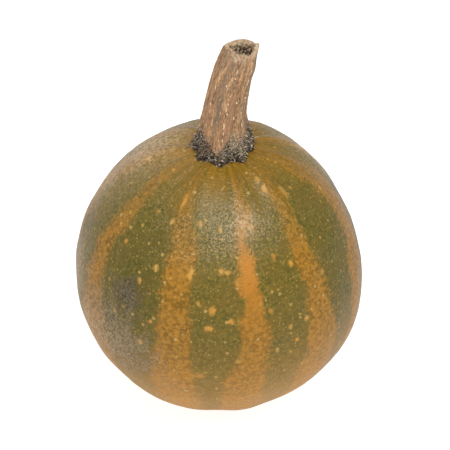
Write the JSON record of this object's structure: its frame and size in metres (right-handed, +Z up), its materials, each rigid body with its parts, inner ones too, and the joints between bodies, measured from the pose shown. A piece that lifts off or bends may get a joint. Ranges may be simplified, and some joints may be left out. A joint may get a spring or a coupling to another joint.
{
  "type": "pumpkin",
  "caption": "Small round striped pumpkin with low ribs and a tall, leaning, corky cut stem that flares into a bristly foot.",
  "frame": {"origin": "bottom centre of the bounding box, on the flat spot that the fruit rests on", "axes": "+Z up, from the rest spot to the stem; -Y towards the side that the picture shows; +X to that side's right"},
  "size_m": [0.1702, 0.169, 0.2363],
  "materials": {
    "rind": "satin, waxy olive green rind striped with orange",
    "stem": "matt, dry grooved cork"
  },
  "bodies": {
    "root": {"fruit": "rind", "stem": "stem"}
  },
  "joints": []
}
